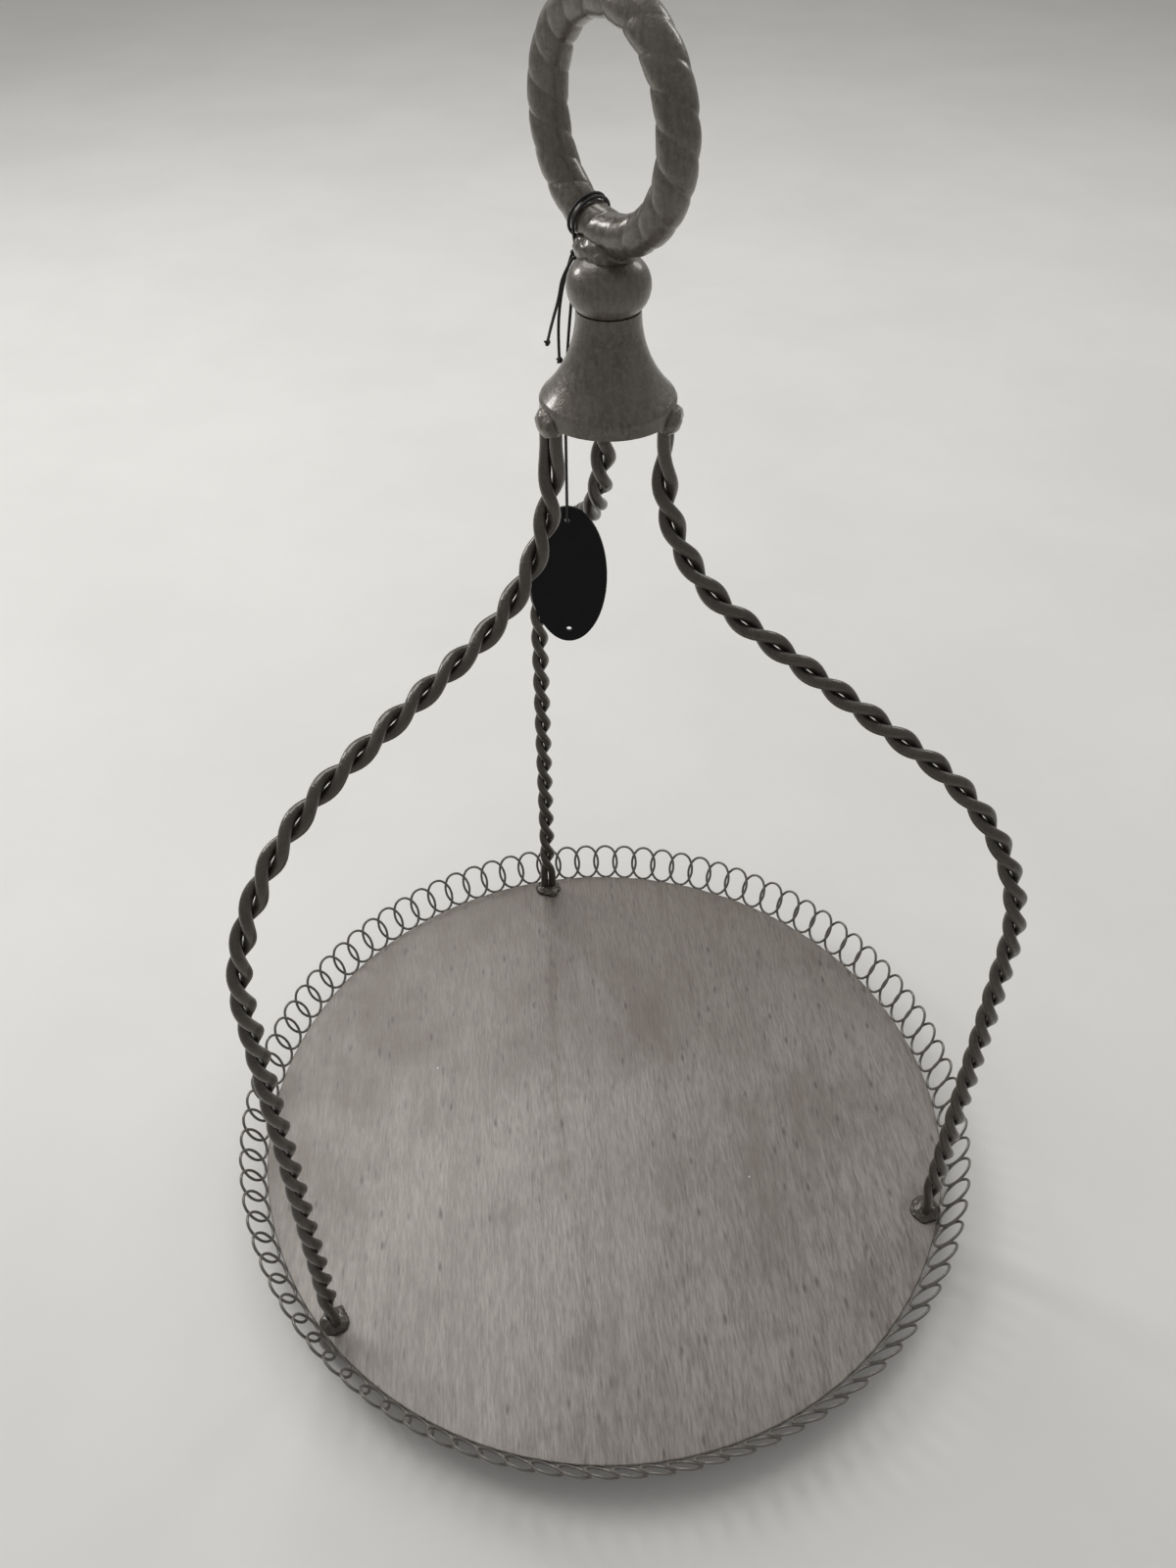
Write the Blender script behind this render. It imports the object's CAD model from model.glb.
# %% [markdown]
# # A hanging tray of twisted rod
# The object is a flat round metal tray with a gallery of small wire rings, three legs of twisted
# rod, and a bell, a knob and a twisted ring to hang it by. A black tag hangs from the ring on a
# thin cord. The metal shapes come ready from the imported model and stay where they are. Blender
# gives them their worn paint, and adds what is soft, lumpy or twisted: cords, welds and the ring.

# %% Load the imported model
import math

import bmesh
import bpy
from mathutils import Matrix, Vector, noise


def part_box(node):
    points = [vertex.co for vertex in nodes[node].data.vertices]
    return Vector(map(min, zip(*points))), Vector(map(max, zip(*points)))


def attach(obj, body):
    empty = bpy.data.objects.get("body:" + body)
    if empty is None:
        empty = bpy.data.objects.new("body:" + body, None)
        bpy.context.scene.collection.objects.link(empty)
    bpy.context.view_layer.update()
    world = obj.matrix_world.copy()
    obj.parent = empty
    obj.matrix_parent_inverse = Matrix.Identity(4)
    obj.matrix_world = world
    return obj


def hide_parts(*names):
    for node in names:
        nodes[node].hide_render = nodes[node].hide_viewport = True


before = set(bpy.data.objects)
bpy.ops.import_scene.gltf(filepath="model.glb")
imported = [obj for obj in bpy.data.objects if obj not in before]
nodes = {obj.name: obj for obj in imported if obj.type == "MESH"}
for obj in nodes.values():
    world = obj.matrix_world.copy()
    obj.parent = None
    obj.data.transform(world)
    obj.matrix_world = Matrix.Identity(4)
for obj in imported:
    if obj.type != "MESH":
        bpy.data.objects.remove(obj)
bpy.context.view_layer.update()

MM = 0.001
UP = Vector((0.0, 0.0, 1.0))
scene = bpy.context.scene

# %% [markdown]
# ## The camera
# The object is seen from above its front edge. A camera could be aimed with a tracking
# constraint, but its place, the way it looks and the way its right hand points are known here, so
# three vectors make its matrix. The picture is taller than wide, and the sensor size belongs to
# the taller side.

# %% Place the camera
CAMERA_PLACE = Vector((0.0, -0.36584, 0.56817))
CAMERA_FORWARD = Vector((-0.01344, 0.73896, -0.67361)).normalized()
CAMERA_RIGHT = Vector((0.99989, 0.01391, -0.00469)).normalized()
CAMERA_LENS = 30.53

camera_data = bpy.data.cameras.new("studio_camera")
camera_data.lens = CAMERA_LENS
camera_data.sensor_width = 36.0
camera_data.clip_start = 0.01
camera = bpy.data.objects.new("studio_camera", camera_data)
camera_up = CAMERA_RIGHT.cross(CAMERA_FORWARD)
camera_matrix = Matrix((CAMERA_RIGHT, camera_up, -CAMERA_FORWARD)).transposed().to_4x4()
camera_matrix.translation = CAMERA_PLACE
camera.matrix_world = camera_matrix
scene.collection.objects.link(camera)
scene.camera = camera
scene.view_settings.view_transform = "Standard"
print("camera at", [round(v, 3) for v in CAMERA_PLACE])

# %% [markdown]
# ## The light
# Daylight reaches the object from a wide opening behind it and above, so its front is darker than
# its edges and its soft shadow falls towards the viewer. One large area lamp stands for that
# opening, and two smaller ones, behind it on the left and the right, draw the bright lines along
# ring, bell and rods. An even grey-white world does the rest, at a level where a colour comes out
# about as it is written. A row of the list is a lamp's name, place, aim, width, power and colour.

# %% Make the lamps and the world
WORLD_STRENGTH = 0.36
WORLD_COLOUR = (1.0, 0.99, 0.975, 1.0)
LAMPS = [
    ("window_lamp", (-0.50, 1.00, 1.75), (0.0, 0.0, 0.12), 1.3, 17.0, (1.0, 0.985, 0.96)),
    ("left_lamp", (-1.30, 0.80, 1.05), (0.0, 0.0, 0.35), 0.42, 6.5, (1.0, 0.99, 0.97)),
    ("right_lamp", (1.10, 1.20, 1.25), (0.0, 0.0, 0.35), 0.6, 4.0, (1.0, 0.99, 0.97)),
]


def area_lamp(name, place, aim, width, power, colour):
    data = bpy.data.lights.new(name, "AREA")
    data.shape = "DISK"
    data.size = width
    data.energy = power
    data.color = colour
    lamp = bpy.data.objects.new(name, data)
    lamp.location = place
    lamp.rotation_euler = (Vector(aim) - Vector(place)).to_track_quat("-Z", "Y").to_euler()
    scene.collection.objects.link(lamp)
    return lamp


lamps = [area_lamp(*row) for row in LAMPS]
world = bpy.data.worlds.new("soft_room")
world.use_nodes = True
background = world.node_tree.nodes["Background"]
background.inputs["Color"].default_value = WORLD_COLOUR
background.inputs["Strength"].default_value = WORLD_STRENGTH
scene.world = world
print("lamps:", ", ".join(lamp.name for lamp in lamps))

# %% [markdown]
# ## Small helpers for shader nodes
# A material here is a tree of nodes. Writing each node with its links takes many lines, so a few
# short functions make the common ones: a sum, a change of range, a mix of two colours and a
# noise. Each one returns the socket that the next node reads.

# %% Define the node helpers


def feed(tree, target, value):
    if isinstance(value, bpy.types.NodeSocket):
        tree.links.new(value, target)
    else:
        target.default_value = value


def combine(tree, operation, first, second=0.0):
    node = tree.nodes.new("ShaderNodeMath")
    node.operation = operation
    feed(tree, node.inputs[0], first)
    feed(tree, node.inputs[1], second)
    return node.outputs[0]


def remap(tree, value, low, high, to_low=0.0, to_high=1.0):
    node = tree.nodes.new("ShaderNodeMapRange")
    node.interpolation_type = "SMOOTHSTEP"
    for socket, given in zip(node.inputs[:5], (value, low, high, to_low, to_high)):
        feed(tree, socket, given)
    return node.outputs[0]


def blend_colours(tree, mask, first, second):
    node = tree.nodes.new("ShaderNodeMix")
    node.data_type = "RGBA"
    feed(tree, node.inputs[0], mask)
    feed(tree, node.inputs[6], first)
    feed(tree, node.inputs[7], second)
    return node.outputs[2]


def noise_value(tree, vector, scale, detail=4.0, roughness=0.55):
    node = tree.nodes.new("ShaderNodeTexNoise")
    feed(tree, node.inputs["Vector"], vector)
    feed(tree, node.inputs["Scale"], scale)
    node.inputs["Detail"].default_value = detail
    node.inputs["Roughness"].default_value = roughness
    return node.outputs[0]


def stretched(tree, vector, stretch):
    node = tree.nodes.new("ShaderNodeVectorMath")
    node.operation = "MULTIPLY"
    feed(tree, node.inputs[0], vector)
    feed(tree, node.inputs[1], stretch)
    return node.outputs[0]


def new_group(name, inputs, outputs):
    tree = bpy.data.node_groups.new(name, "ShaderNodeTree")
    for label, kind, value in inputs:
        socket = tree.interface.new_socket(label, in_out="INPUT", socket_type="NodeSocket" + kind)
        if value is not None:
            socket.default_value = value
    for label in outputs:
        tree.interface.new_socket(label, in_out="OUTPUT", socket_type="NodeSocketFloat")
    return tree, tree.nodes.new("NodeGroupInput"), tree.nodes.new("NodeGroupOutput")


def placed(tree, group, **values):
    node = tree.nodes.new("ShaderNodeGroup")
    node.node_tree = group
    for label, value in values.items():
        feed(tree, node.inputs[label], value)
    return node.outputs[0]


print("node helpers ready")

# %% [markdown]
# ## Brush strokes
# The paint was wiped on with a dry brush, so fine streaks run across the whole tray in one
# direction, darker where the undercoat shows. A picture of streaks could be used, but noise that
# is squeezed across and stretched along gives them at any size. Two sizes are mixed, so that
# broad passes of the brush carry finer hairs.

# %% Build the brush stroke group
stroke_group, given, result = new_group(
    "brush_strokes",
    [("Vector", "Vector", None), ("Across", "Float", 420.0), ("Along", "Float", 26.0),
     ("Fine", "Float", 0.55)],
    ["Strokes"])
sizes = stroke_group.nodes.new("ShaderNodeCombineXYZ")
feed(stroke_group, sizes.inputs[0], given.outputs["Across"])
feed(stroke_group, sizes.inputs[1], given.outputs["Along"])
feed(stroke_group, sizes.inputs[2], given.outputs["Along"])
laid = stretched(stroke_group, given.outputs["Vector"], sizes.outputs[0])
hairs = noise_value(stroke_group, laid, 1.0, 5.0, 0.62)
passes = noise_value(stroke_group, laid, 0.23, 2.0, 0.5)
share = combine(stroke_group, "MULTIPLY", hairs, given.outputs["Fine"])
rest = combine(stroke_group, "SUBTRACT", 1.0, given.outputs["Fine"])
broad = combine(stroke_group, "MULTIPLY", passes, rest)
both = combine(stroke_group, "ADD", share, broad)
feed(stroke_group, result.inputs["Strokes"], remap(stroke_group, both, 0.32, 0.68))
print("group:", stroke_group.name)

# %% [markdown]
# ## Clouds, specks and recesses
# Three more effects come back in every painted piece. Clouds are soft blotches where the wash is
# thicker. Specks are single small dots: dust under the lacquer, or pits. Recesses are the grooves
# and corners where a brush does not reach and the dark undercoat stays; ambient occlusion finds
# them from the shape itself.

# %% Build the cloud group
cloud_group, given, result = new_group(
    "wash_clouds",
    [("Vector", "Vector", None), ("Scale", "Float", 20.0), ("Contrast", "Float", 0.5)],
    ["Clouds"])
cloud = noise_value(cloud_group, given.outputs["Vector"], given.outputs["Scale"], 5.0, 0.6)
softness = combine(cloud_group, "SUBTRACT", 1.0, given.outputs["Contrast"])
spread = combine(cloud_group, "MULTIPLY", softness, 0.5)
feed(cloud_group, result.inputs["Clouds"],
     remap(cloud_group, cloud, spread, combine(cloud_group, "SUBTRACT", 1.0, spread)))
print("group:", cloud_group.name)

# %% Build the speck group
speck_group, given, result = new_group(
    "single_specks",
    [("Vector", "Vector", None), ("Scale", "Float", 150.0), ("Size", "Float", 0.1),
     ("Share", "Float", 0.3)],
    ["Specks"])
cells = speck_group.nodes.new("ShaderNodeTexVoronoi")
feed(speck_group, cells.inputs["Vector"], given.outputs["Vector"])
feed(speck_group, cells.inputs["Scale"], given.outputs["Scale"])
near = remap(speck_group, cells.outputs["Distance"], given.outputs["Size"], 0.0)
lot = speck_group.nodes.new("ShaderNodeSeparateColor")
feed(speck_group, lot.inputs[0], cells.outputs["Color"])
chosen = combine(speck_group, "LESS_THAN", lot.outputs[0], given.outputs["Share"])
feed(speck_group, result.inputs["Specks"], combine(speck_group, "MULTIPLY", near, chosen))
print("group:", speck_group.name)

# %% Build the recess group
recess_group, given, result = new_group(
    "dark_recesses", [("Reach", "Float", 0.004), ("Depth", "Float", 1.6)], ["Recess"])
hidden = recess_group.nodes.new("ShaderNodeAmbientOcclusion")
hidden.samples = 8
feed(recess_group, hidden.inputs["Distance"], given.outputs["Reach"])
closed = combine(recess_group, "SUBTRACT", 1.0, hidden.outputs["AO"])
deep = combine(recess_group, "MULTIPLY", closed, given.outputs["Depth"])
feed(recess_group, result.inputs["Recess"], combine(recess_group, "MINIMUM", deep, 1.0))
print("group:", recess_group.name)

# %% [markdown]
# ## Starting a material
# Every finish begins the same way: an empty tree with one Principled shader, and a socket that
# gives the place of each point on the object in metres. The metal nodes sit at the origin, so
# that place is also the place in the room and the paint runs on from piece to piece.

# %% Define the start of a material


def new_finish(name, roughness, metallic=0.0, coat=0.0):
    material = bpy.data.materials.new(name)
    material.use_nodes = True
    tree = material.node_tree
    shader = tree.nodes["Principled BSDF"]
    shader.inputs["Roughness"].default_value = roughness
    shader.inputs["Metallic"].default_value = metallic
    shader.inputs["Coat Weight"].default_value = coat
    place = tree.nodes.new("ShaderNodeTexCoord").outputs["Object"]
    return material, tree, shader, place


def add_bump(tree, shader, height, strength, depth):
    node = tree.nodes.new("ShaderNodeBump")
    node.inputs["Strength"].default_value = strength
    node.inputs["Distance"].default_value = depth
    feed(tree, node.inputs["Height"], height)
    feed(tree, shader.inputs["Normal"], node.outputs[0])


def paint_nodes(material, names):
    for name in names:
        for slot in nodes[name].material_slots:
            slot.material = material
    print(material.name, "on", len(names), "nodes")


print("materials can be made")

# %% [markdown]
# ## The tray's wash
# The sheet has a warm grey wash over a brown undercoat, rubbed down so that fine strokes show, and
# a satin lacquer with a few bright dust specks. The strokes lean a few degrees from the tray's
# front-to-back line. The wash gets thinner towards the back, and the brown shows through there. In
# places the rubbing went through: short dark flecks along the brush, and broad patches where the
# brown comes up between the strokes. Flecks are cells of a Voronoi pattern, stretched along the
# brush. Strokes and clouds also change the roughness, because thin paint is smoother than thick
# paint, and that breaks up the large lamp's reflection.

# %% Make the tray's finish
STROKE_TURN = math.radians(-5.0)
TRAY_DARK = (0.150, 0.132, 0.119, 1.0)
TRAY_LIGHT = (0.282, 0.263, 0.240, 1.0)
TRAY_BROWN = (0.128, 0.107, 0.093, 1.0)
TRAY_PIT = (0.060, 0.050, 0.045, 1.0)
TRAY_DUST = (0.85, 0.84, 0.82, 1.0)
BROWN_STRENGTH = 0.75
THIN_FROM = -0.04
THIN_TO = 0.20
THIN_MOST = 0.62
FLECK_STRETCH = (1.0, 0.34, 1.0)
FLECK_STRENGTH = 0.85
HAIR_STRETCH = (1.0, 0.2, 1.0)
HAIR_STRENGTH = 0.55
CORNER_STRENGTH = 0.7
TRAY_ROUGHNESS = 0.31

tray_finish, tree, shader, place = new_finish("tray_wash", 0.42, 0.2, 0.12)
turned = tree.nodes.new("ShaderNodeVectorRotate")
turned.rotation_type = "Z_AXIS"
turned.inputs["Angle"].default_value = STROKE_TURN
feed(tree, turned.inputs["Vector"], place)
along_brush = turned.outputs[0]
strokes = placed(tree, stroke_group, Vector=along_brush, Across=1000.0, Along=130.0, Fine=0.7)
clouds = placed(tree, cloud_group, Vector=place, Scale=16.0, Contrast=0.5)
wash = blend_colours(tree, strokes, TRAY_DARK, TRAY_LIGHT)
rubbed = placed(tree, stroke_group, Vector=along_brush, Across=150.0, Along=22.0, Fine=0.5)
worn_through = remap(tree, clouds, 0.45, 1.0)
bare = combine(tree, "MULTIPLY", worn_through, combine(tree, "SUBTRACT", 1.0, rubbed))
wash = blend_colours(tree, combine(tree, "MULTIPLY", bare, BROWN_STRENGTH), wash, TRAY_BROWN)
depth = tree.nodes.new("ShaderNodeSeparateXYZ")
feed(tree, depth.inputs[0], place)
far = combine(tree, "ADD", depth.outputs[1], combine(tree, "MULTIPLY", clouds, 0.06))
thin = remap(tree, far, THIN_FROM, THIN_TO, 0.0, THIN_MOST)
wash = blend_colours(tree, thin, wash, TRAY_BROWN)
flat_cells = stretched(tree, along_brush, FLECK_STRETCH)
flecks = placed(tree, speck_group, Vector=flat_cells, Scale=190.0, Size=0.24, Share=0.42)
wash = blend_colours(tree, combine(tree, "MULTIPLY", flecks, FLECK_STRENGTH), wash, TRAY_PIT)
long_cells = stretched(tree, along_brush, HAIR_STRETCH)
hairs = placed(tree, speck_group, Vector=long_cells, Scale=330.0, Size=0.3, Share=0.5)
wash = blend_colours(tree, combine(tree, "MULTIPLY", hairs, HAIR_STRENGTH), wash, TRAY_PIT)
dust = placed(tree, speck_group, Vector=place, Scale=60.0, Size=0.05, Share=0.07)
wash = blend_colours(tree, dust, wash, TRAY_DUST)
recess = placed(tree, recess_group, Reach=0.006, Depth=1.1)
wash = blend_colours(tree, combine(tree, "MULTIPLY", recess, CORNER_STRENGTH), wash, TRAY_PIT)
feed(tree, shader.inputs["Base Color"], wash)
stroke_grain = combine(tree, "MULTIPLY", strokes, 0.08)
grain = combine(tree, "ADD", stroke_grain, combine(tree, "MULTIPLY", clouds, 0.12))
feed(tree, shader.inputs["Roughness"], combine(tree, "ADD", grain, TRAY_ROUGHNESS))
swell = combine(tree, "MULTIPLY", noise_value(tree, place, 9.0, 1.0), 6.0)
add_bump(tree, shader, combine(tree, "ADD", strokes, swell), 0.25, 0.0003)
paint_nodes(tray_finish, ["tray_disc"])

# %% [markdown]
# ## The rods' paint
# Legs and feet carry the same wash, but most of it is rubbed off: dark brown stays in the grooves
# of the twist and a paler film lies on the crests. A recess mask makes that from the shape. Fine
# grit under the lacquer breaks it up, and the lacquer is glossy, so each crest catches the lamps.

# %% Make the rods' finish
ROD_DARK = (0.015, 0.012, 0.010, 1.0)
ROD_MID = (0.036, 0.029, 0.023, 1.0)
ROD_PALE = (0.086, 0.073, 0.060, 1.0)
PAINT_METALLIC = 0.3
LACQUER = 0.5
LACQUER_ROUGHNESS = 0.12
PIT_STRENGTH = 0.7
GRIT_STRENGTH = 0.6


def metal_paint(name, dark, middle, pale, roughness, reach, depth):
    material, tree, shader, place = new_finish(name, roughness, PAINT_METALLIC, LACQUER)
    shader.inputs["Coat Roughness"].default_value = LACQUER_ROUGHNESS
    clouds = placed(tree, cloud_group, Vector=place, Scale=75.0, Contrast=0.75)
    streaks = placed(tree, stroke_group, Vector=place, Across=900.0, Along=260.0, Fine=0.7)
    film = combine(tree, "MULTIPLY", combine(tree, "ADD", clouds, streaks), 0.5)
    wash = blend_colours(tree, film, middle, pale)
    recess = placed(tree, recess_group, Reach=reach, Depth=depth)
    ragged = combine(tree, "MULTIPLY", recess, remap(tree, clouds, 0.0, 1.0, 0.65, 1.0))
    wash = blend_colours(tree, ragged, wash, dark)
    pits = placed(tree, speck_group, Vector=place, Scale=420.0, Size=0.2, Share=0.12)
    wash = blend_colours(tree, combine(tree, "MULTIPLY", pits, PIT_STRENGTH), wash, dark)
    grit = remap(tree, noise_value(tree, place, 620.0, 3.0, 0.7), 0.46, 0.66)
    wash = blend_colours(tree, combine(tree, "MULTIPLY", grit, GRIT_STRENGTH), wash, pale)
    feed(tree, shader.inputs["Base Color"], wash)
    uneven_gloss = remap(tree, film, 0.0, 1.0, roughness - 0.08, roughness + 0.1)
    feed(tree, shader.inputs["Roughness"], uneven_gloss)
    relief = combine(tree, "ADD", combine(tree, "ADD", clouds, streaks), grit)
    add_bump(tree, shader, relief, 0.22, 0.00025)
    return material


rod_finish = metal_paint("rod_paint", ROD_DARK, ROD_MID, ROD_PALE, 0.33, 0.004, 1.5)
paint_nodes(rod_finish, [name for name in nodes if name.startswith(("leg_", "foot_"))])

# %% [markdown]
# ## The bell's, knob's and wire's paint
# Bell, knob and ring kept more of the grey wash than the rods, with brown in the joint between
# bell and knob and along the rim. The gallery wire is thin, so its paint is one even dark grey
# with worn places. All three come from the same function with other colours.

# %% Make the bell's and the gallery's finish
BELL_DARK = (0.032, 0.024, 0.017, 1.0)
BELL_MID = (0.062, 0.051, 0.039, 1.0)
BELL_PALE = (0.172, 0.152, 0.127, 1.0)
WIRE_DARK = (0.045, 0.039, 0.034, 1.0)
WIRE_MID = (0.105, 0.095, 0.085, 1.0)
WIRE_PALE = (0.190, 0.178, 0.164, 1.0)

bell_finish = metal_paint("bell_paint", BELL_DARK, BELL_MID, BELL_PALE, 0.34, 0.009, 0.75)
paint_nodes(bell_finish, ["bell", "knob"])
wire_finish = metal_paint("gallery_paint", WIRE_DARK, WIRE_MID, WIRE_PALE, 0.36, 0.0015, 1.0)
paint_nodes(wire_finish, [name for name in nodes if name.startswith("gallery_")])

# %% [markdown]
# ## The tag's black
# The tag is a thin black plate with a satin face. Fine scuffs keep the face from looking like a
# hole: they are pale hair lines, much stretched noise in one direction, and they change the
# roughness more than the colour.

# %% Make the tag's finish
TAG_BLACK = (0.0040, 0.0044, 0.0062, 1.0)
TAG_WORN = (0.014, 0.0145, 0.018, 1.0)

tag_finish, tree, shader, place = new_finish("tag_black", 0.4)
shader.inputs["Specular IOR Level"].default_value = 0.15
scuffs = placed(tree, stroke_group, Vector=place, Across=2600.0, Along=300.0, Fine=0.8)
patches = placed(tree, cloud_group, Vector=place, Scale=130.0, Contrast=0.5)
worn = combine(tree, "MULTIPLY", combine(tree, "MULTIPLY", scuffs, patches), 0.5)
feed(tree, shader.inputs["Base Color"], blend_colours(tree, worn, TAG_BLACK, TAG_WORN))
feed(tree, shader.inputs["Roughness"], remap(tree, scuffs, 0.0, 1.0, 0.34, 0.5))
add_bump(tree, shader, noise_value(tree, place, 1800.0, 2.0), 0.1, 0.0001)
paint_nodes(tag_finish, ["tag_plate"])

# %% [markdown]
# ## The hanging ring
# The ring is a thick bar, grooved and twisted like rope, then bent round and closed. An array of
# swept curves could make it, but here the rule is simple: two grooves turn ten times about the
# bar on the way round, so each point of a torus is pushed in where it is near a groove. Between
# two grooves the bar swells into a round lobe. The grooves come and go a little in depth, and the
# lobes are a little uneven, as hand work is.

# %% Make the twisted ring
RING_CENTRE = Vector((0.0, 0.0, 0.5 * (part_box("hanging_ring")[0].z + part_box("hanging_ring")[1].z)))
RING_BAR = 11.3 * MM
RING_RADIUS = 28.2 * MM
RING_YAW = math.radians(-53.7)
RING_ALONG = Vector((math.cos(RING_YAW), math.sin(RING_YAW), 0.0))
RING_ACROSS = RING_ALONG.cross(UP)
GROOVES = 2
GROOVE_TURNS = 10
GROOVE_DEPTH = 0.6 * MM
GROOVE_SHARPNESS = 3.0
LOBE_UNEVEN = 0.12 * MM
RING_STEPS = 480
RING_SIDES = 72


def link_mesh(name, build, material, body):
    mesh = bpy.data.meshes.new(name)
    build.normal_update()
    build.to_mesh(mesh)
    build.free()
    mesh.shade_smooth()
    mesh.materials.append(material)
    piece = bpy.data.objects.new(name, mesh)
    scene.collection.objects.link(piece)
    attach(piece, body)
    return piece


def close_grid(build, rows):
    for i in range(len(rows)):
        first, second = rows[i], rows[(i + 1) % len(rows)]
        for j in range(len(first)):
            k = (j + 1) % len(first)
            build.faces.new((first[j], second[j], second[k], first[k]))


def ring_point(round_ring, round_bar):
    out = RING_ALONG * math.cos(round_ring) + UP * math.sin(round_ring)
    phase = (GROOVES * round_bar - GROOVES * GROOVE_TURNS * round_ring) / (2.0 * math.pi)
    to_crest = 2.0 * abs(phase - round(phase))
    centre = RING_CENTRE + out * RING_RADIUS
    way = out * math.cos(round_bar) + RING_ACROSS * math.sin(round_bar)
    surface = centre + way * RING_BAR / 2.0
    depth = GROOVE_DEPTH * (0.8 + 0.9 * noise.noise(surface * 95.0))
    dent = LOBE_UNEVEN * (0.5 + 0.5 * noise.noise(surface * 260.0))
    return surface - way * (depth * (1.0 - to_crest) ** GROOVE_SHARPNESS + dent)


build = bmesh.new()
bar_angles = [2.0 * math.pi * j / RING_SIDES for j in range(RING_SIDES)]
ring_rows = []
for i in range(RING_STEPS):
    angle = 2.0 * math.pi * i / RING_STEPS
    ring_rows.append([build.verts.new(ring_point(angle, round_bar)) for round_bar in bar_angles])
close_grid(build, ring_rows)
bmesh.ops.recalc_face_normals(build, faces=build.faces)
twisted_ring = link_mesh("twisted_ring", build, bell_finish, "basket_frame")
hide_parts("hanging_ring")
print("twisted_ring:", len(twisted_ring.data.vertices), "points")

# %% [markdown]
# ## The weld beads
# A weld is metal that was liquid for a moment: a shiny, lumpy bead that fills the corner between
# two pieces. A ball with noise on it gives that. The ball is squashed to the bead's three half
# sizes, its lumps come from fractal noise, and each bead has its own drift through the noise so
# that no two look alike.

# %% Make the weld beads
LEG_ANGLES = {"left": -138.0, "right": -18.0, "back": 102.0}
TOP_ANGLES = {"left": -153.6, "right": -18.0, "back": 93.8}
LEG_BASE_RADIUS = 154.0 * MM
RIM_RADIUS = 20.4 * MM
TRAY_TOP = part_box("tray_disc")[1].z
RIM_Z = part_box("bell")[0].z
KNOB_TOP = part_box("knob")[1].z
BASE_BEAD = Vector((6.6, 7.0, 3.4)) * MM
RIM_BEAD = Vector((3.7, 6.2, 4.2)) * MM
RING_BEAD = Vector((10.2, 7.8, 5.6)) * MM
BASE_INSET = 0.5 * MM
RIM_INSET = 1.0 * MM
RIM_SINK = 0.2 * MM
RING_SHIFT = 2.4 * MM


def weld_bead(name, node, centre, turn, halves, lumps, rough, material, drift):
    build = bmesh.new()
    bmesh.ops.create_icosphere(build, subdivisions=5, radius=1.0)
    turned = Matrix.Rotation(turn, 3, "Z")
    for vert in build.verts:
        way = vert.co.normalized()
        ripple = noise.fractal(way * lumps + Vector((drift, 2.0 * drift, 0.5 * drift)), 1.0, 2.0, 3)
        bead = way * (0.94 + rough * ripple)
        squashed = Vector((bead.x * halves.x, bead.y * halves.y, bead.z * halves.z))
        vert.co = centre + turned @ squashed
    piece = link_mesh(name, build, material, "basket_frame")
    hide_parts(node)
    return piece


def polar(radius, turn, height):
    return Vector((radius * math.cos(turn), radius * math.sin(turn), height))


weld_beads = []
for number, (leg, degrees) in enumerate(LEG_ANGLES.items()):
    turn = math.radians(degrees)
    base_spot = polar(LEG_BASE_RADIUS - BASE_INSET, turn, TRAY_TOP)
    weld_beads.append(weld_bead(
        "base_bead_" + leg, "base_weld_" + leg, base_spot, turn,
        BASE_BEAD, 1.5, 0.18, rod_finish, 3.0 + 5.0 * number))
    turn = math.radians(TOP_ANGLES[leg])
    rim_spot = polar(RIM_RADIUS - RIM_INSET, turn, RIM_Z - RIM_SINK)
    weld_beads.append(weld_bead(
        "rim_bead_" + leg, "rim_weld_" + leg, rim_spot, turn,
        RIM_BEAD, 1.0, 0.13, bell_finish, 21.0 + 5.0 * number))
ring_spot = Vector((0.0, 0.0, KNOB_TOP)) - RING_ALONG * RING_SHIFT
weld_beads.append(weld_bead(
    "ring_bead", "ring_weld", ring_spot, RING_YAW,
    RING_BEAD, 1.2, 0.15, bell_finish, 47.0))
print("beads:", ", ".join(piece.name for piece in weld_beads))

# %% [markdown]
# ## The cord's black
# The cord is thin black waxed thread. Wax makes it a little shiny, and the twist of the thread
# shows only as a fine roughness, so a very fine noise in colour and bump is enough.

# %% Make the cord's finish
CORD_BLACK = (0.0080, 0.0080, 0.0085, 1.0)
CORD_WORN = (0.028, 0.027, 0.026, 1.0)

cord_finish, tree, shader, place = new_finish("waxed_cord", 0.5)
fibres = placed(tree, cloud_group, Vector=place, Scale=2600.0, Contrast=0.5)
feed(tree, shader.inputs["Base Color"], blend_colours(tree, fibres, CORD_BLACK, CORD_WORN))
feed(tree, shader.inputs["Roughness"], remap(tree, fibres, 0.0, 1.0, 0.42, 0.62))
add_bump(tree, shader, fibres, 0.3, 0.0001)
print("finish:", cord_finish.name)

# %% [markdown]
# ## The cords
# One thread is wound twice about the ring, tied in a knot, and its two ends hang free. A second
# length goes from the knot down to the tag, through its hole and back. A cord bends smoothly, so
# each is one NURBS curve with round thickness. The points of the free stretches are picked by
# hand; the turns about the ring and the half turn through the tag's hole are worked out.

# %% Define a cord
CORD = 0.9 * MM
KNOT = Vector((-9.3538, 12.7337, 425.9)) * MM
KNOT_RADIUS = 1.65 * MM
KNOT_CORE = 0.8 * MM
KNOT_EDGE = 1.4 * MM


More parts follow.
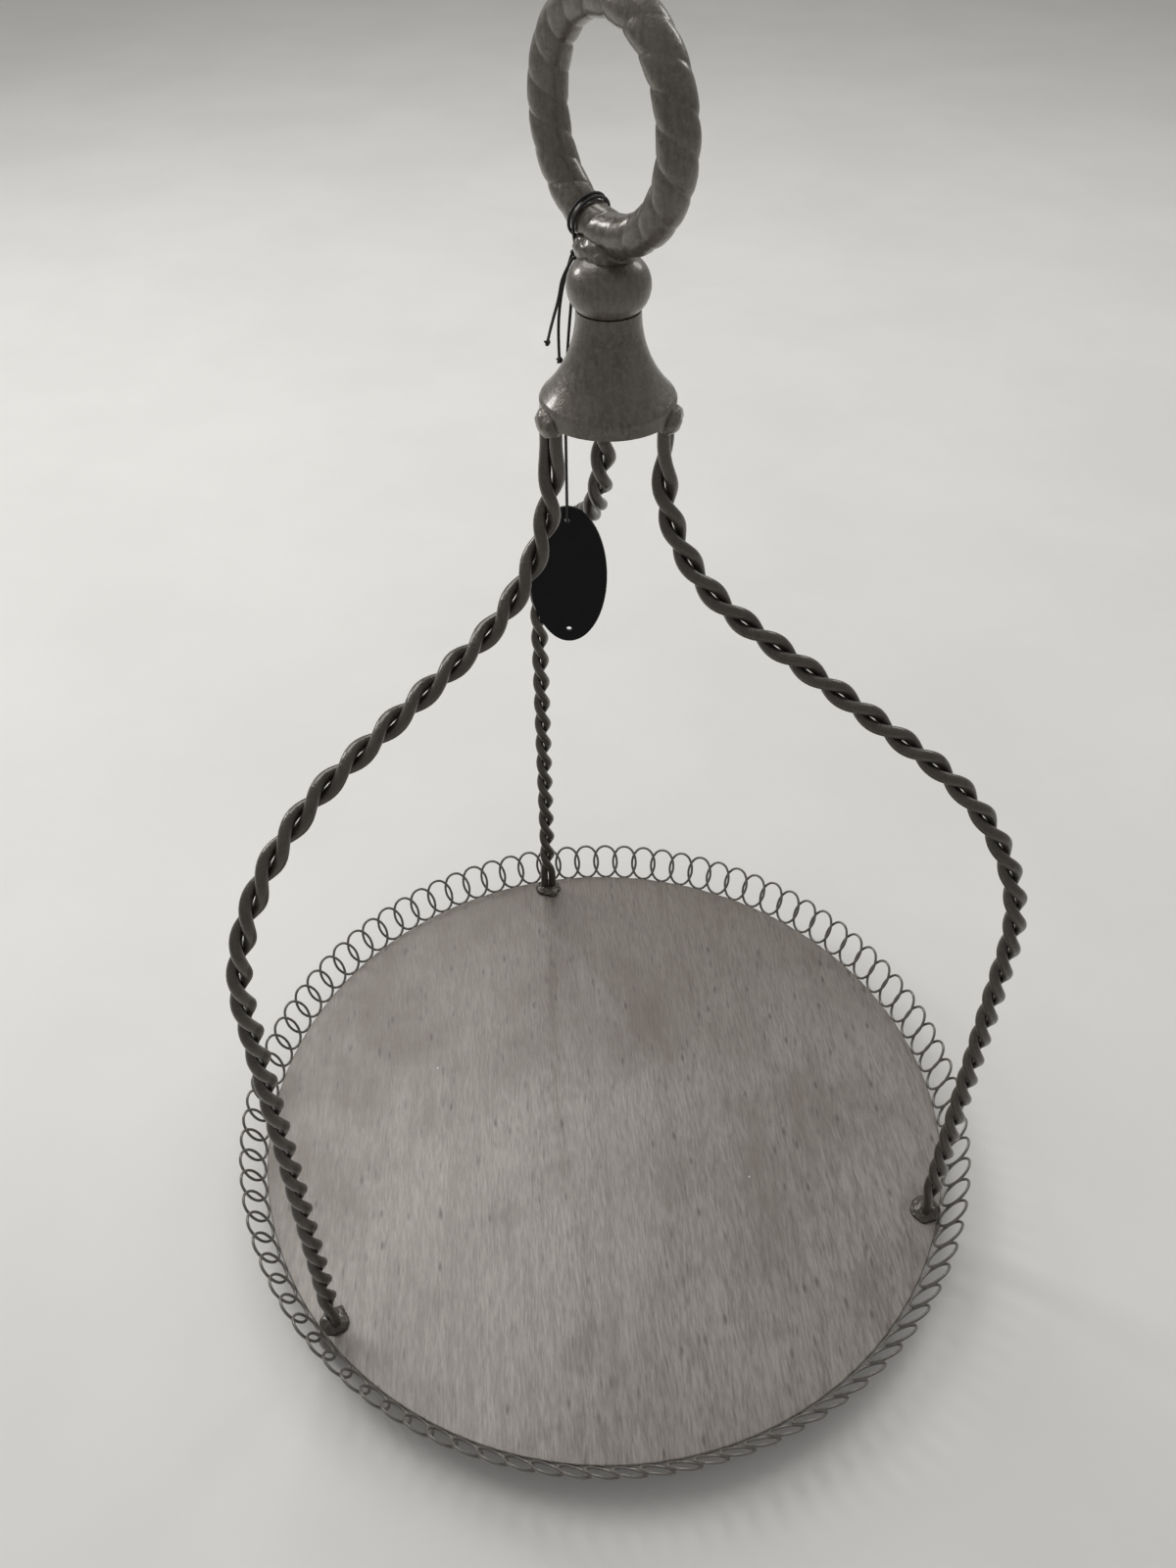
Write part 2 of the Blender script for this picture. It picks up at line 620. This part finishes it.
def make_cord(name, points, body):
    data = bpy.data.curves.new(name, "CURVE")
    data.dimensions = "3D"
    spline = data.splines.new("NURBS")
    spline.points.add(len(points) - 1)
    for control, spot in zip(spline.points, points):
        control.co = (spot.x, spot.y, spot.z, 1.0)
    spline.order_u = 3
    spline.use_endpoint_u = True
    spline.resolution_u = 12
    data.bevel_depth = CORD / 2.0
    data.bevel_resolution = 5
    data.use_fill_caps = True
    data.materials.append(cord_finish)
    piece = bpy.data.objects.new(name, data)
    scene.collection.objects.link(piece)
    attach(piece, body)
    return piece


print("knot at", [round(v / MM, 1) for v in KNOT], "mm")

# %% [markdown]
# ## The winding and the knots
# The two turns lie side by side on the bar, and both ends run down into the knot. A NURBS curve
# cuts inside its points, so the points stand a little further out than the thread lies. A knot is
# drawn as the simplest real one, a trefoil, in the same thread pulled tight.

# %% Wind the cord about the ring
TURN_PITCH = 2.1 * MM
WRAP_REACH = 6.25 * MM
WRAP_POINTS = 14
WRAP_OUT = 1.026
KNOT_ANGLE = math.atan2(KNOT.z - RING_CENTRE.z, -(KNOT.xy.length))
WRAP_ANGLE = KNOT_ANGLE + math.radians(2.5)
KNOT_REACH = (KNOT - RING_CENTRE).length - RING_RADIUS
LEAVE = math.acos(WRAP_REACH / KNOT_REACH)


def wrap_point(turn, reach):
    spot = WRAP_ANGLE + (turn - 2.0 * math.pi) / (2.0 * math.pi) * TURN_PITCH / RING_RADIUS
    out = RING_ALONG * math.cos(spot) + UP * math.sin(spot)
    ahead = UP * math.cos(spot) - RING_ALONG * math.sin(spot)
    side = ahead.cross(out)
    return RING_CENTRE + out * RING_RADIUS + (out * math.cos(turn) + side * math.sin(turn)) * reach


def from_knot(way, distance):
    return KNOT + way.normalized() * distance


wrap_sweep = 4.0 * math.pi - 2.0 * LEAVE
wrap_count = math.ceil(wrap_sweep / (2.0 * math.pi) * WRAP_POINTS)
wrap_start = from_knot(wrap_point(LEAVE, WRAP_REACH) - KNOT, KNOT_CORE)
wrap_end = from_knot(wrap_point(4.0 * math.pi - LEAVE, WRAP_REACH) - KNOT, KNOT_CORE)
wrap_turns = [LEAVE + wrap_sweep * k / wrap_count for k in range(wrap_count + 1)]
wrap_spots = [wrap_point(turn, WRAP_REACH * WRAP_OUT) for turn in wrap_turns]
wrap_route = [wrap_start] + wrap_spots + [wrap_end]
winding_cord = make_cord("winding_cord", wrap_route, "basket_frame")
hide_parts("cord_winding")
print("winding:", len(wrap_route), "points")

# %% Tie the knots
KNOT_POINTS = 42
KNOT_FACING = Vector((-0.35, -0.75, 0.35))
KNOT_WEAVE = 1.9
KNOT_THREAD = 0.55 * MM


def tie_knot(name, node, centre, radius, thread, facing):
    data = bpy.data.curves.new(name + "_line", "CURVE")
    data.dimensions = "3D"
    spline = data.splines.new("NURBS")
    spline.points.add(KNOT_POINTS - 1)
    size = (radius - thread) / 3.0
    turned = facing.to_track_quat("Z", "Y")
    for k, control in enumerate(spline.points):
        t = 2.0 * math.pi * k / KNOT_POINTS
        across = math.sin(t) + 2.0 * math.sin(2.0 * t)
        along = math.cos(t) - 2.0 * math.cos(2.0 * t)
        flat = Vector((across, along, 0.0))
        spot = centre + turned @ ((flat - KNOT_WEAVE * UP * math.sin(3.0 * t)) * size)
        control.co = (spot.x, spot.y, spot.z, 1.0)
    spline.order_u = 3
    spline.use_cyclic_u = True
    data.bevel_depth = thread
    data.bevel_resolution = 4
    line = bpy.data.objects.new(name + "_line", data)
    mesh = bpy.data.meshes.new_from_object(line)
    bpy.data.objects.remove(line)
    mesh.name = name
    mesh.shade_smooth()
    mesh.materials.clear()
    mesh.materials.append(cord_finish)
    piece = bpy.data.objects.new(name, mesh)
    scene.collection.objects.link(piece)
    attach(piece, "basket_frame")
    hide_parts(node)
    return piece


ring_knot = tie_knot("ring_knot", "cord_knot", KNOT, KNOT_RADIUS, KNOT_THREAD, KNOT_FACING)
print("ring_knot:", len(ring_knot.data.vertices), "points")

# %% [markdown]
# ## The loose ends
# The two ends are stiff enough with wax to hang in a slight curve, one a little longer than the
# other, and each is stopped with a tiny knot. Their points are measured from the knot in
# millimetres, and the first one is inside it.

# %% Hang the two tails
TAIL_KNOT_RADIUS = 1.1 * MM
TAIL_THREAD = 0.4 * MM
TAILS = {
    "short": (Vector((-0.487, -0.655, -0.578)),
              [(-3.9, -3.0, -5.0), (-5.0, -1.4, -12.5), (-7.4, 2.0, -21.2), (-8.9, 6.9, -28.6)]),
    "long": (Vector((-0.88, -0.42, -0.22)),
             [(-3.4, 0.0, -7.0), (-4.9, 1.1, -15.0), (-5.6, 2.0, -23.7), (-5.4, 2.7, -31.9)]),
}
for name, (leaving, steps) in TAILS.items():
    route = [from_knot(leaving, KNOT_EDGE)] + [KNOT + Vector(step) * MM for step in steps]
    tail = make_cord("tail_cord_" + name, route, "basket_frame")
    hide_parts("cord_tail_" + name)
    last_way = (route[-1] - route[-2]).normalized()
    end_spot = route[-1] + last_way * TAIL_KNOT_RADIUS
    end_knot = tie_knot("end_knot_" + name, "tail_knot_" + name, end_spot,
                        TAIL_KNOT_RADIUS, TAIL_THREAD, last_way)
print("tails:", ", ".join(TAILS))

# %% [markdown]
# ## The drop to the tag
# The doubled cord is pulled straight by the tag's weight, from the knot to the bell's rim and on
# down. One strand lies before the tag and one behind, and between them the cord goes through the
# upper hole in a half circle. Extra points close to the hole keep the long stretches straight.

# %% Hang the doubled cord
DROP = Vector((-13.2981, 18.1032, 0.0)) * MM
STRAND = 1.25 * MM
BEND_Z = 393.5 * MM
HOLE_Z = 336.3 * MM
LOOP_Z = HOLE_Z + STRAND
NEAR_LOOP_Z = LOOP_Z + 6.0 * CORD
LOOP_OUT = 1.08
LOOP_STEPS = 6


def strand_spot(middle, side):
    return middle + Vector((0.0, side * STRAND, 0.0))


def loop_spot(step):
    turn = math.pi * step / LOOP_STEPS
    reach = STRAND * LOOP_OUT
    return DROP + Vector((0.0, -math.cos(turn) * reach, LOOP_Z - math.sin(turn) * reach))


strand_middles = [KNOT - UP * KNOT_EDGE, DROP + UP * BEND_Z, DROP + UP * NEAR_LOOP_Z]
drop_route = [strand_spot(middle, -1.0) for middle in strand_middles]
drop_route += [loop_spot(step) for step in range(LOOP_STEPS + 1)]
drop_route += [strand_spot(middle, 1.0) for middle in reversed(strand_middles)]
drop_cord = make_cord("drop_cord", drop_route, "tag_cord")
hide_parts("cord_drop")
print("drop:", len(drop_route), "points")

# %% [markdown]
# ## The floor
# The object stands on a pale painted surface. It is only a stage, so it is marked as one. A wide
# disc reaches past the picture on all sides, and its paint has a faint unevenness so that the
# shadow does not lie on a dead flat colour.

# %% Lay the floor
FLOOR_RADIUS = 6.0
FLOOR_PALE = (0.76, 0.755, 0.74, 1.0)
FLOOR_SHADE = (0.72, 0.715, 0.70, 1.0)

floor_finish, tree, shader, place = new_finish("pale_floor", 0.5)
uneven = placed(tree, cloud_group, Vector=place, Scale=5.0, Contrast=0.4)
feed(tree, shader.inputs["Base Color"], blend_colours(tree, uneven, FLOOR_SHADE, FLOOR_PALE))
build = bmesh.new()
bmesh.ops.create_circle(build, cap_ends=True, segments=96, radius=FLOOR_RADIUS)
floor_mesh = bpy.data.meshes.new("floor")
build.to_mesh(floor_mesh)
build.free()
floor_mesh.materials.append(floor_finish)
floor = bpy.data.objects.new("floor", floor_mesh)
scene.collection.objects.link(floor)
print("floor radius", FLOOR_RADIUS)
